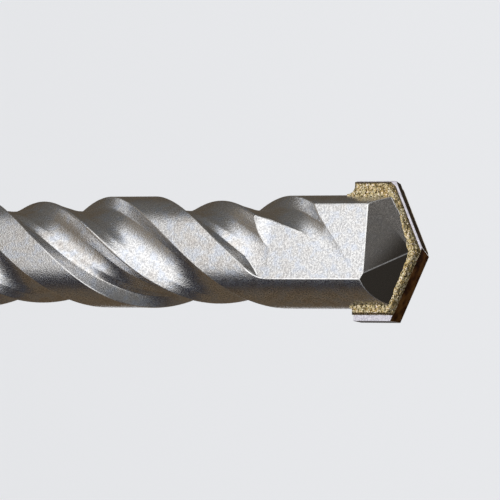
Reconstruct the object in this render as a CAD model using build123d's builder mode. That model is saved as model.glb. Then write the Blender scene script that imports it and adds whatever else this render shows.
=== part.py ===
"""Masonry drill bit, 10 mm, with a slotted drive shank and a brazed carbide plate.

The bit stands on the flat rear face of its shank. Z is the drill axis: 0 at that face, growing to the point.
All sizes are millimetres and degrees. A direction round the axis is an azimuth: 0 is straight out of the
head's front milled flat, which faces -Y, and 90 is a quarter turn from there towards -X.
"""

import os
from math import acos, cos, degrees, radians, sin, tan

from build123d import *

# Lengths along the axis
overall_length = 160.0
plain_length = 60.0
taper_length = 4.0
collar_length = 2.0
runout_length = 9.0
runout_depth = 0.3

# Shank
shank_diameter = 10.0
shank_chamfer = 0.8
drive_groove_width = 5.0
drive_groove_depth = 1.7
drive_groove_length = 29.0
drive_runout_radius = 9.0
ball_groove_radius = 3.6
ball_groove_depth = 1.8
ball_groove_start = 8.5
ball_groove_end = 28.5

# Twisted flutes: two broad lands, and between them two lower ridges.
# Angles count from a land's centre, and a lead counts from the land's edge next to it.
land_diameter = 8.4
pitch = 28.6
floor_distance = 3.1
ridge_diameter = 7.88
land_half_angle = 20.4
uncut_allowance = 0.2
foot_radius = 3.28
foot_lead = 10.0
floor_half_angle = 12.5
floor_middle_angle = 57.0
ridge_angle = 87.5
brow_angle = 102.5
brow_radius = 3.46
gutter_far_radius = 3.11
gutter_near_radius = 3.24
gutter_far_lead = 43.5
gutter_near_lead = 13.0
land_angle_at_point = -32.5
end_of_flutes = 5.8

# Milled head
flat_runout_start = 11.0
flat_runout_radius = 3.0
shoulder_radius = 4.0
shoulder_reach = 1.6
shoulder_inset = 0.15
web_ramp_length = 1.2
web_ramp_drop = 0.3
steel_setback = 0.05
steel_point_angle = 124.0
main_facet_angle = 32.0
main_facet_start = 3.75
side_facet_angle = 41.8
side_facet_start = 4.1
side_facet_azimuth = -30.1

# Carbide plate and the filler metal that holds it
plate_width = 10.3
plate_thickness = 2.0
plate_length = 5.1
plate_azimuth = -10.1
point_angle = 134.0
relief_angle = 6.5
filler_film = 0.1
filler_edge_margin = 0.2
filler_upper_margin = 0.05
filler_lower_margin = 0.45
filler_upper_corner = 0.6
filler_lower_corner = 0.2

# Worked out from the sizes above
shank_radius = shank_diameter / 2
land_radius = land_diameter / 2
ridge_radius = ridge_diameter / 2
flat_distance = floor_distance
flat_half_width = (land_radius**2 - flat_distance**2) ** 0.5
floor_half_width = floor_distance * tan(radians(floor_half_angle))
point_slope = 1 / tan(radians(point_angle / 2))
steel_slope = 1 / tan(radians(steel_point_angle / 2))
flat_edge_angle = degrees(acos(flat_distance / land_radius))
neck_start = plain_length + taper_length
flute_start = neck_start + collar_length
flute_end = overall_length - end_of_flutes
shoulder_turn = land_angle_at_point + land_half_angle + flat_edge_angle - 180
shoulder_corner = overall_length + shoulder_turn * pitch / 360
shoulder_rear = shoulder_corner - shoulder_reach
beyond = shank_diameter


def around(azimuth):
    """The unit direction that points away from the axis at an azimuth."""
    return Vector(-sin(radians(azimuth)), -cos(radians(azimuth)), 0)


def along(station):
    """The point of the axis at a station, counted from the shank's rear face."""
    return Vector(0, 0, station)


def facing(azimuth, distance=0):
    """A plane that faces an azimuth at a distance from the axis, with its own x along the drill."""
    return Plane(origin=around(azimuth) * distance, x_dir=along(1), z_dir=around(azimuth))


def beside(azimuth):
    """The plane through the axis in which height grows towards an azimuth."""
    return Plane(origin=along(0), x_dir=along(1), z_dir=around(azimuth - 90))


def land_angle(station):
    """Azimuth of a land's centre at a station along the axis."""
    return land_angle_at_point - 360 * (station - overall_length) / pitch


def section_plane(station):
    """The cross-section at a station, with its own x through a land's centre."""
    return Plane(origin=along(station), x_dir=around(land_angle(station)), z_dir=along(1))


def polar(radius, angle):
    """A point of the cross-section, at an angle from a land's centre in the direction the flutes lead."""
    return (radius * cos(radians(-angle)), radius * sin(radians(-angle)))


def half_section(turn):
    """One land, its flute, the ridge and the second flute, turned about the axis."""
    land_edge = turn + land_half_angle
    next_edge = turn + 180 - land_half_angle
    uncut_radius = land_radius / cos(radians(land_half_angle)) + uncut_allowance
    floor_corner = floor_distance / cos(radians(floor_half_angle))
    Polyline(
        polar(uncut_radius, turn - land_half_angle),
        polar(uncut_radius, land_edge),
        polar(foot_radius, land_edge + foot_lead),
        polar(floor_corner, floor_middle_angle + turn - floor_half_angle),
        polar(floor_corner, floor_middle_angle + turn + floor_half_angle),
        polar(ridge_radius, turn + ridge_angle),
        polar(brow_radius, turn + brow_angle),
        polar(gutter_far_radius, next_edge - gutter_far_lead),
        polar(gutter_near_radius, next_edge - gutter_near_lead),
        polar(uncut_radius, next_edge),
    )


def twist(start, end):
    """Carries the pending section from one station to another, turning it with the pitch."""
    with BuildLine(mode=Mode.PRIVATE) as path:
        Line(along(start), along(end))
    with BuildLine(mode=Mode.PRIVATE) as guide:
        Helix(pitch, end - start, land_radius, center=along(start))
    sweep(path=path.wire(), binormal=guide.wire())


# Twisted part of the body
with BuildPart() as fluted:
    with BuildSketch(section_plane(flute_start)):
        with BuildLine():
            half_section(0)
            half_section(180)
        make_face()
    twist(flute_start, flute_end)
    with BuildSketch(Plane.XY.offset(flute_start)):
        Circle(land_radius)
    extrude(amount=flute_end - flute_start, mode=Mode.INTERSECT)

# Shoulder: beside the milled flat the land widens and stops the flute
def shoulder_line(inset):
    """Looking down on the flat, the line between it and the shoulder, from the front to its rear end."""
    edge_angle = land_angle(shoulder_rear) - 180 + land_half_angle
    return [
        (overall_length + beyond, -flat_half_width),
        (shoulder_corner, -flat_half_width),
        (shoulder_rear, land_radius * sin(radians(edge_angle)) - inset),
    ]


def round_corner(sketch, radius):
    """Rounds the corner where the shoulder's line leaves the edge of the flat."""
    corner = Vector(shoulder_corner, -flat_half_width, 0)
    return fillet(sketch.vertices().sort_by_distance(corner)[0], radius=radius)


with BuildPart() as shoulder:
    with BuildSketch(section_plane(shoulder_rear)):
        with BuildLine():
            rim = CenterArc((0, 0), land_radius, 180, -land_half_angle - 90)
            Line(rim @ 1, (0, 0))
            Line((0, 0), rim @ 0)
        make_face()
    twist(shoulder_rear, flute_end)
    with BuildSketch(facing(0)) as outline:
        with BuildLine():
            Polyline(
                (overall_length + beyond, -beyond),
                *shoulder_line(shoulder_inset),
                (shoulder_rear, -beyond),
                close=True,
            )
        make_face()
        round_corner(outline, shoulder_radius)
    extrude(amount=shank_radius, both=True, mode=Mode.INTERSECT)

# Turned parts: shank, taper, the core that the flutes run out on, and the head's blank
with BuildPart() as turned:
    with BuildSketch(beside(0)):
        core_end = (flute_start + runout_length, floor_distance - runout_depth)
        with BuildLine():
            Polyline(
                (flute_start, land_radius),
                (neck_start, land_radius),
                (plain_length, shank_radius),
                (shank_chamfer, shank_radius),
                (0, shank_radius - shank_chamfer),
                (0, 0),
                (flute_start + runout_length, 0),
                core_end,
            )
            TangentArc(core_end, (flute_start, land_radius), tangent=(-1, 0))
        make_face()
    with BuildSketch(beside(0)):
        with BuildLine():
            Polyline(
                (flute_end, 0),
                (flute_end, land_radius),
                (overall_length - steel_setback - steel_slope * land_radius, land_radius),
                (overall_length - steel_setback, 0),
                close=True,
            )
        make_face()
    revolve(axis=Axis.Z)

# Web that closes the flute under one flat, from where the flute's floor faces the same way as the flat
with BuildPart() as web:
    web_start = overall_length + (land_angle_at_point + floor_middle_angle - 180) * pitch / 360
    with BuildSketch(beside(0).offset(-floor_half_width)):
        with BuildLine():
            Polyline(
                (web_start - web_ramp_length, 0),
                (web_start - web_ramp_length, flat_distance - web_ramp_drop),
                (web_start, flat_distance),
                (flute_end, flat_distance),
                (flute_end, 0),
                close=True,
            )
        make_face()
    extrude(amount=floor_half_width + flat_half_width)

# What the mill takes off above one flat, with a floor that rises at its rear end
with BuildPart() as flat_cut:
    with BuildSketch(facing(0)) as pocket:
        with BuildLine():
            Polyline(
                (overall_length + beyond, beyond),
                *shoulder_line(0),
                (shoulder_rear, beyond),
                close=True,
            )
        make_face()
        round_corner(pocket, shoulder_radius)
    extrude(amount=beyond)
    with BuildSketch(beside(0)):
        runout_station = overall_length - flat_runout_start
        with BuildLine():
            runout = CenterArc(
                (runout_station, flat_distance + flat_runout_radius), flat_runout_radius, 180, 90
            )
            Polyline(
                runout @ 1,
                (overall_length + beyond, flat_distance),
                (overall_length + beyond, beyond),
                ((runout @ 0).X, beyond),
                runout @ 0,
            )
        make_face()
    extrude(amount=beyond, both=True, mode=Mode.INTERSECT)

# Drive groove: open at the shank's rear face, its floor rising at the front
with BuildPart() as drive_groove:
    groove_floor = shank_radius - drive_groove_depth
    with BuildSketch(beside(0)):
        reach = (drive_runout_radius**2 - (drive_runout_radius - drive_groove_depth) ** 2) ** 0.5
        groove_center = (drive_groove_length - reach, groove_floor + drive_runout_radius)
        with BuildLine():
            rise = CenterArc(groove_center, drive_runout_radius, 270, 90)
            Polyline(
                rise @ 1,
                ((rise @ 1).X, 2 * beyond),
                (-beyond, 2 * beyond),
                (-beyond, groove_floor),
                rise @ 0,
            )
        make_face()
    extrude(amount=drive_groove_width / 2, both=True)

# Ball groove: closed at both ends, hollowed by a ball's path along the shank
with BuildPart() as ball_groove:
    path_height = shank_radius - ball_groove_depth + ball_groove_radius
    end_reach = (ball_groove_radius**2 - (ball_groove_radius - ball_groove_depth) ** 2) ** 0.5
    with BuildSketch(beside(90)):
        with BuildLine():
            stations = (ball_groove_start + end_reach, ball_groove_end - end_reach)
            rear_end = CenterArc((stations[0], path_height), ball_groove_radius, 180, 90)
            front_end = CenterArc((stations[1], path_height), ball_groove_radius, 270, 90)
            Line(rear_end @ 1, front_end @ 0)
            Line(front_end @ 1, rear_end @ 0)
        make_face()
    revolve(axis=Axis(around(90) * path_height, along(1)))


def plate_outline(front_margin, lower_margin, upper_margin, rear):
    """The plate's outline, drawn in by a margin at the point and at each side."""
    lower = plate_width / 2 - lower_margin
    upper = plate_width / 2 - upper_margin
    tip = overall_length - front_margin
    Polyline(
        (rear, -lower),
        (tip - point_slope * lower, -lower),
        (tip, 0),
        (tip - point_slope * upper, upper),
        (rear, upper),
        close=True,
    )


plate_rear = overall_length - plate_length

# Carbide plate, with its point ground back behind each cutting edge
with BuildPart() as carbide_tip:
    with BuildSketch(facing(plate_azimuth)):
        with BuildLine():
            plate_outline(-beyond / 2, 0, 0, plate_rear)
        make_face()
    extrude(amount=plate_thickness / 2, both=True)
    for turn in (0, 180):
        across = around(plate_azimuth + turn + 90) * point_slope
        relief = around(plate_azimuth + turn) * tan(radians(relief_angle))
        ground = Plane(origin=along(overall_length), z_dir=along(1) + across - relief)
        split(bisect_by=ground, keep=Keep.BOTTOM)

# Slot across the head, wider and deeper than the plate by the film of filler metal
with BuildPart() as slot:
    with BuildSketch(facing(plate_azimuth)):
        with Locations((plate_rear - filler_film, 0)):
            Rectangle(beyond, 2 * beyond, align=(Align.MIN, Align.CENTER))
    extrude(amount=plate_thickness / 2 + filler_film, both=True)


def facet(slant, start, azimuth, distance):
    """The plane of a ground facet that leaves a surface at a distance from the axis and slants to the point."""
    normal = along(tan(radians(slant))) + around(azimuth)
    return Plane(origin=along(overall_length - start) + around(azimuth) * distance, z_dir=normal)


# Steel body: shank, flutes and head in one piece
with BuildPart() as steel_body:
    add(turned.part)
    add(fluted.part)
    for turn in (0, 180):
        add(shoulder.part.rotate(Axis.Z, turn))
        add(web.part.rotate(Axis.Z, turn))
    for turn in (0, 180):
        add(flat_cut.part.rotate(Axis.Z, turn), mode=Mode.SUBTRACT)
        add(drive_groove.part.rotate(Axis.Z, turn), mode=Mode.SUBTRACT)
        add(ball_groove.part.rotate(Axis.Z, turn), mode=Mode.SUBTRACT)
        split(bisect_by=facet(main_facet_angle, main_facet_start, turn, flat_distance), keep=Keep.BOTTOM)
        side_turn = side_facet_azimuth + turn
        split(bisect_by=facet(side_facet_angle, side_facet_start, side_turn, land_radius), keep=Keep.BOTTOM)
    add(slot.part, mode=Mode.SUBTRACT)

# Filler metal on one of the plate's faces: a film that fills the slot and stands proud outside it
with BuildPart() as film:
    with BuildSketch(facing(plate_azimuth)):
        with BuildLine():
            plate_outline(
                filler_edge_margin, filler_lower_margin, filler_upper_margin, plate_rear - filler_film
            )
        make_face()
    extrude(amount=plate_thickness / 2 + filler_film)

# Hollow fillets of filler metal behind the plate, where its rear corners stand out of the steel
with BuildPart() as corners:
    for turn, corner_radius in ((0, filler_upper_corner), (180, filler_lower_corner)):
        with BuildSketch(facing(plate_azimuth + turn)):
            with BuildLine():
                corner_rear = plate_rear - filler_film - corner_radius
                hollow = CenterArc((corner_rear, land_radius + corner_radius), corner_radius, 270, 90)
                Polyline(hollow @ 1, ((hollow @ 1).X, 0), (corner_rear, 0), hollow @ 0)
            make_face()
        extrude(amount=plate_thickness / 2 + filler_film, both=True)
    add(steel_body.part, mode=Mode.SUBTRACT)

# All the filler metal, with the plate's own room taken out
with BuildPart() as braze:
    for turn in (0, 180):
        add(film.part.rotate(Axis.Z, turn))
    add(corners.part)
    with BuildSketch(facing(plate_azimuth)):
        with Locations((plate_rear, 0)):
            Rectangle(beyond, 2 * beyond, align=(Align.MIN, Align.CENTER))
    extrude(amount=plate_thickness / 2, both=True, mode=Mode.SUBTRACT)

os.makedirs("parts", exist_ok=True)
steel_body.part.label = "steel_body"
carbide_tip.part.label = "carbide_tip"
braze.part.label = "braze"
export_step(steel_body.part, "parts/steel_body.step")
export_step(carbide_tip.part, "parts/carbide_tip.step")
export_step(braze.part, "parts/braze.step")
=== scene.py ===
"""A 10 mm masonry drill bit that stands on its shank, dressed and lit in a plain studio.

The frame is the CAD's: Z is the drill axis, 0 at the shank's rear face, and the objects are in metres.
Sizes in the pieces' classes are millimetres and degrees, and each finished mesh is scaled once; the
studio's are metres. An azimuth is a direction round the axis: 0 faces -Y, out of the front milled flat,
and 90 faces -X.
"""

import logging
from collections.abc import Sequence
from dataclasses import dataclass, replace
from enum import Enum
from math import acos, cos, degrees, pi, radians, sin, tan

import bmesh
import bpy
from mathutils import Matrix, Vector


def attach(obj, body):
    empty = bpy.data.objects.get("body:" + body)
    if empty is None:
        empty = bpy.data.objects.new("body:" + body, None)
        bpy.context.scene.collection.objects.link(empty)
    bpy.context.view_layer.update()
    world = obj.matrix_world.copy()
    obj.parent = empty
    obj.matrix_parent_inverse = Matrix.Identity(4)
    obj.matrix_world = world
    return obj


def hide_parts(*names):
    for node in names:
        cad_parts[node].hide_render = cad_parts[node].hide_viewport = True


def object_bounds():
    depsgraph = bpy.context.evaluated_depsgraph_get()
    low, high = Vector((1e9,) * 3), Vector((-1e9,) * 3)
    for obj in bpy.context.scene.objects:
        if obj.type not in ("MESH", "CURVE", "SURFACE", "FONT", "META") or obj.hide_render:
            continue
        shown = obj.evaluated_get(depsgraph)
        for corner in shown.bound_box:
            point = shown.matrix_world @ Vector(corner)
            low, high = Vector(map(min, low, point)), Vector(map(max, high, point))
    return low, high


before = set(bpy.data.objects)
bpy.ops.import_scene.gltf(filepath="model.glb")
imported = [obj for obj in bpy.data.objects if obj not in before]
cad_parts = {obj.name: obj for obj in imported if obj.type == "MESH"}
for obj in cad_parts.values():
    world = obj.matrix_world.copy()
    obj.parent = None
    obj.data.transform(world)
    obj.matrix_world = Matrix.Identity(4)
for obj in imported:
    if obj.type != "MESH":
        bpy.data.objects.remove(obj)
cad_low, cad_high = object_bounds()

MM = 0.001
BODY = "root"
SOLVER = "EXACT"
LOG = logging.getLogger("drill_bit")

Colour = tuple[float, float, float]
Outline = Sequence[tuple[float, float]]


class Operation(Enum):
    """What a boolean does with its second solid."""

    JOIN = "UNION"
    KEEP_INSIDE = "INTERSECT"
    TAKE_AWAY = "DIFFERENCE"


@dataclass(frozen=True)
class Drill:
    """Sizes and directions that the pieces share."""

    length: float
    shank_radius: float = 5.0
    land_radius: float = 4.2
    pitch: float = 28.6
    land_azimuth_at_point: float = -32.5
    land_half_angle: float = 20.4
    flat_distance: float = 3.1
    plate_azimuth: float = -10.1
    plate_half_thickness: float = 1.0
    film: float = 0.1

    @staticmethod
    def around(azimuth: float) -> Vector:
        """The unit direction that points away from the axis at an azimuth."""
        return Vector((-sin(radians(azimuth)), -cos(radians(azimuth)), 0.0))

    def land_azimuth(self, station: float) -> float:
        """Azimuth of a land's centre at a station along the axis."""
        return self.land_azimuth_at_point - 360 * (station - self.length) / self.pitch

    def flat_half_width(self) -> float:
        """Half the width of a milled flat, where it meets the land's cylinder."""
        return (self.land_radius**2 - self.flat_distance**2) ** 0.5

    def flat_edge_angle(self) -> float:
        """Angle from the middle of a flat to its edge."""
        return degrees(acos(self.flat_distance / self.land_radius))


@dataclass(frozen=True)
class Corner:
    """A corner of a section across the drill, with the radius that rounds it."""

    radius: float
    angle: float
    rounding: float = 0.0

    def turned(self, angle: float) -> "Corner":
        """The same corner, turned about the axis."""
        return replace(self, angle=self.angle + angle)


@dataclass(frozen=True)
class Facet:
    """A facet ground on the head: its angle to the axis, its start behind the point and where it faces."""

    slant: float
    start: float
    azimuth: float


class Tree:
    """A node tree that is written as nested calls."""

    def __init__(self, tree: bpy.types.NodeTree) -> None:
        """Keeps the tree that the calls add nodes to."""
        self.tree = tree

    def node(self, kind: str, inputs: dict | None = None, **settings: object) -> bpy.types.Node:
        """Adds a node.

        Args:
            kind: Blender's name of the node's type.
            inputs: values or sockets by input name or index.
            settings: the node's own properties.

        Returns:
            The new node.
        """
        made = self.tree.nodes.new(kind)
        for name, value in settings.items():
            setattr(made, name, value)
        for key, value in (inputs or {}).items():
            socket = made.inputs[key]
            if isinstance(value, bpy.types.Node):
                value = next(o for o in value.outputs if o.enabled)
            if isinstance(value, bpy.types.NodeSocket):
                self.tree.links.new(value, socket)
            else:
                socket.default_value = value
        return made

    def math(self, operation: str, *values: object) -> bpy.types.NodeSocket:
        """One Math node, with its values in order."""
        return self.node("ShaderNodeMath", dict(enumerate(values)), operation=operation).outputs[0]

    def vector(self, operation: str, *values: object) -> bpy.types.Node:
        """One Vector Math node, with its values in order."""
        return self.node("ShaderNodeVectorMath", dict(enumerate(values)), operation=operation)


# Solids in millimetres


def new_object(name: str, mesh: bpy.types.Mesh) -> bpy.types.Object:
    """Links a new object that holds a mesh.

    Args:
        name: the object's name.
        mesh: its mesh.

    Returns:
        The new object, at the origin.
    """
    made = bpy.data.objects.new(name, mesh)
    bpy.context.scene.collection.objects.link(made)
    return made


def from_bmesh(name: str, made: bmesh.types.BMesh) -> bpy.types.Object:
    """Turns a closed bmesh into an object whose faces point outwards.

    Args:
        name: the object's name.
        made: the bmesh, which is freed.

    Returns:
        The new object.
    """
    bmesh.ops.recalc_face_normals(made, faces=made.faces)
    mesh = bpy.data.meshes.new(name)
    made.to_mesh(mesh)
    made.free()
    return new_object(name, mesh)


def prism(name: str, outline: Outline, face: Vector, low: float, high: float) -> bpy.types.Object:
    """An outline drawn along the drill and extruded.

    Args:
        name: the object's name.
        outline: corners as station along the axis and distance across it.
        face: the unit direction that the drawing faces; across is a quarter turn from it.
        low: where the extrusion starts, along face.
        high: where it ends.

    Returns:
        The closed solid.
    """
    made = bmesh.new()
    along = Vector((0, 0, 1))
    across = face.cross(along)
    corners = [along * station + across * offset for station, offset in outline]
    bottom = made.faces.new([made.verts.new(corner + face * low) for corner in corners])
    risen = bmesh.ops.extrude_face_region(made, geom=[bottom])
    top = [part for part in risen["geom"] if isinstance(part, bmesh.types.BMVert)]
    bmesh.ops.translate(made, verts=top, vec=face * (high - low))
    return from_bmesh(name, made)


def lathe(name: str, outline: Outline, steps: int) -> bpy.types.Object:
    """An outline turned about the drill axis.

    Args:
        name: the object's name.
        outline: stations and radii, from axis to axis.
        steps: how many steps a full turn has.

    Returns:
        The closed solid.
    """
    made = bmesh.new()
    rings = []
    for station, radius in outline:
        if radius == 0:
            rings.append([made.verts.new((0, 0, station))])
            continue
        turns = [2 * pi * step / steps for step in range(steps)]
        rings.append([made.verts.new((radius * cos(t), radius * sin(t), station)) for t in turns])
    for lower, upper in zip(rings, rings[1:]):
        for step in range(steps):
            corners = [ring[(step + more) % len(ring)] for ring, more in
                       ((lower, 0), (lower, 1), (upper, 1), (upper, 0))]
            made.faces.new(list(dict.fromkeys(corners)))
    return from_bmesh(name, made)


def arc(center: tuple[float, float], radius: float, start: float, turn: float,
        steps: int) -> list[tuple[float, float]]:
    """Points of an arc.

    Args:
        center: its centre.
        radius: its radius.
        start: angle of its first point from the first axis.
        turn: angle from its first point to its last.
        steps: how many chords it has.

    Returns:
        Its points in order.
    """
    angles = [radians(start + turn * step / steps) for step in range(steps + 1)]
    return [(center[0] + radius * cos(a), center[1] + radius * sin(a)) for a in angles]


def rounded(before: tuple, corner: tuple, after: tuple, radius: float,
            steps: int) -> list[tuple[float, float]]:
    """The points that round one corner of an outline.

    Args:
        before: the point before the corner.
        corner: the corner.
        after: the point after it.
        radius: the rounding's radius.
        steps: how many chords the rounding has.

    Returns:
        The rounding's points in order.
    """
    here, back, ahead = Vector(corner), Vector(before) - Vector(corner), Vector(after) - Vector(corner)
    back.normalize()
    ahead.normalize()
    half = back.angle(ahead) / 2
    middle = here + (back + ahead).normalized() * (radius / sin(half))
    starts = (here + back * (radius / tan(half)) - middle).normalized()
    ends = (here + ahead * (radius / tan(half)) - middle).normalized()
    points = [starts.slerp(ends, step / steps) * radius + middle for step in range(steps + 1)]
    return [tuple(point) for point in points]


def turned_copy(solid: bpy.types.Object, turn: float) -> bpy.types.Object:
    """A copy of a solid, turned about the drill axis.

    Args:
        solid: the solid.
        turn: the angle, in degrees.

    Returns:
        The copy.
    """
    mesh = solid.data.copy()
    mesh.transform(Matrix.Rotation(radians(turn), 4, "Z"))
    return new_object(solid.name + "_turned", mesh)


def baked(source: bpy.types.Object, name: str) -> bpy.types.Object:
    """The evaluated mesh of an object as a new plain object.

    Args:
        source: the object with its modifiers, which is removed.
        name: the new object's name.

    Returns:
        The new object.
    """
    evaluated = source.evaluated_get(bpy.context.evaluated_depsgraph_get())
    mesh = bpy.data.meshes.new_from_object(evaluated)
    bpy.data.objects.remove(source)
    return new_object(name, mesh)


def grown(source: bpy.types.Object, tree: bpy.types.NodeTree, sizes: dict[str, object]) -> bpy.types.Object:
    """Runs a Geometry Nodes tree on an object.

    Args:
        source: the object that the tree starts from, which is removed.
        tree: the tree.
        sizes: values of its inputs by their names.

    Returns:
        The tree's result as a new plain object.
    """
    modifier = source.modifiers.new("tree", "NODES")
    modifier.node_group = tree
    for item in tree.interface.items_tree:
        if item.in_out == "INPUT" and item.name in sizes:
            modifier[item.identifier] = sizes[item.name]
    return baked(source, source.name)


def combine(solid: bpy.types.Object, operation: Operation, other: bpy.types.Object) -> bpy.types.Object:
    """Combines two solids and removes the second one.

    Args:
        solid: the solid that is changed.
        operation: what is done with the other.
        other: the second solid.

    Returns:
        The combined solid, under the first one's name.
    """
    modifier = solid.modifiers.new("combine", "BOOLEAN")
    modifier.operation = operation.value
    modifier.solver = SOLVER
    modifier.object = other
    made = baked(solid, solid.name)
    bpy.data.objects.remove(other)
    return made


# Pieces


@dataclass(frozen=True)
class FluteSweep:
    """The tree that carries a section along the drill and turns it with the pitch."""

    drill: Drill
    ring_step: float = 0.3
    point_step: float = 0.3
    corner_steps: int = 5
    weld_distance: float = 1e-5

    def tree(self) -> bpy.types.NodeTree:
        """Builds the Geometry Nodes tree.

        Returns:
            The tree, with its sizes as named inputs.
        """
        group = bpy.data.node_groups.new("flute_sweep", "GeometryNodeTree")
        face = group.interface
        face.new_socket("Section", in_out="INPUT", socket_type="NodeSocketGeometry")
        for name in ("Start", "End", "Ring Step", "Point Step", "Pitch", "Station", "Azimuth"):
            face.new_socket(name, in_out="INPUT", socket_type="NodeSocketFloat")
        face.new_socket("Corner Steps", in_out="INPUT", socket_type="NodeSocketInt")
        face.new_socket("Material", in_out="INPUT", socket_type="NodeSocketMaterial")
        face.new_socket("Body", in_out="OUTPUT", socket_type="NodeSocketGeometry")
        t = Tree(group)
        given = t.node("NodeGroupInput").outputs

        rounding = t.node("GeometryNodeInputNamedAttribute", {"Name": "rounding"}, data_type="FLOAT")
        corners = t.node("GeometryNodeMeshToCurve", {"Mesh": given["Section"]})
        section = t.node("GeometryNodeFilletCurve", {
            "Curve": corners, "Count": given["Corner Steps"], "Radius": rounding.outputs[0],
            "Limit Radius": True}, mode="POLY")
        position = t.node("GeometryNodeInputPosition")
        following = t.node("GeometryNodeOffsetPointInCurve", {"Offset": 1})
        ahead = t.node("GeometryNodeFieldAtIndex", {
            "Index": following.outputs["Point Index"], "Value": position}, data_type="FLOAT_VECTOR")
        gap = t.vector("DISTANCE", position.outputs[0], ahead.outputs[0]).outputs["Value"]
        cuts = t.math("FLOOR", t.math("DIVIDE", gap, given["Point Step"]))
        section = t.node("GeometryNodeSubdivideCurve", {"Curve": section, "Cuts": cuts})

        ends = [t.node("ShaderNodeCombineXYZ", {"Z": given[name]}) for name in ("Start", "End")]
        line = t.node("GeometryNodeCurvePrimitiveLine", {"Start": ends[0], "End": ends[1]})
        rings = t.math("DIVIDE", t.math("SUBTRACT", given["End"], given["Start"]), given["Ring Step"])
        path = t.node("GeometryNodeResampleCurve", {"Curve": line, "Count": t.math("CEIL", rings)})
        bar = t.node("GeometryNodeCurveToMesh", {
            "Curve": path, "Profile Curve": section, "Fill Caps": True})

        height = t.node("ShaderNodeSeparateXYZ", {"Vector": position}).outputs["Z"]
        turns = t.math("DIVIDE", t.math("SUBTRACT", height, given["Station"]), given["Pitch"])
        angle = t.math("MULTIPLY_ADD", turns, 2 * pi, t.math("MULTIPLY", given["Azimuth"], -pi / 180))
        twisted = t.node("ShaderNodeVectorRotate", {
            "Vector": position, "Axis": (0, 0, 1), "Angle": angle}, rotation_type="AXIS_ANGLE")
        moved = t.node("GeometryNodeSetPosition", {"Geometry": bar, "Position": twisted})
        real = t.node("GeometryNodeRealizeInstances", {"Geometry": moved})
        dressed = t.node("GeometryNodeSetMaterial", {"Geometry": real, "Material": given["Material"]})
        t.node("NodeGroupOutput", {"Body": dressed})
        return group

    def sweep(self, name: str, corners: Sequence[Corner], start: float, end: float,
              material: bpy.types.Material) -> bpy.types.Object:
        """Sweeps a section.

        Args:
            name: the new object's name.
            corners: the section's corners, with their angles from a land's centre.
            start: station of the section's first ring.
            end: station of its last.
            material: what the tree sets.

        Returns:
            The twisted solid.
        """
        mesh = bpy.data.meshes.new(name)
        points = [self.drill.around(corner.angle) * corner.radius for corner in corners]
        edges = [(index, (index + 1) % len(points)) for index in range(len(points))]
        mesh.from_pydata(points, edges, [])
        mesh.attributes.new("rounding", "FLOAT", "POINT").data.foreach_set(
            "value", [corner.rounding for corner in corners])
        sizes = {
            "Start": start,
            "End": end,
            "Ring Step": self.ring_step,
            "Point Step": self.point_step,
            "Pitch": self.drill.pitch,
            "Station": self.drill.length,
            "Azimuth": self.drill.land_azimuth_at_point,
            "Corner Steps": self.corner_steps,
            "Material": material,
        }
        made = grown(new_object(name, mesh), self.tree(), sizes)
        outward = bmesh.new()
        outward.from_mesh(made.data)
        bmesh.ops.remove_doubles(outward, verts=outward.verts, dist=self.weld_distance)
        bmesh.ops.recalc_face_normals(outward, faces=outward.faces)
        outward.to_mesh(made.data)
        outward.free()
        return made


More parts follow.
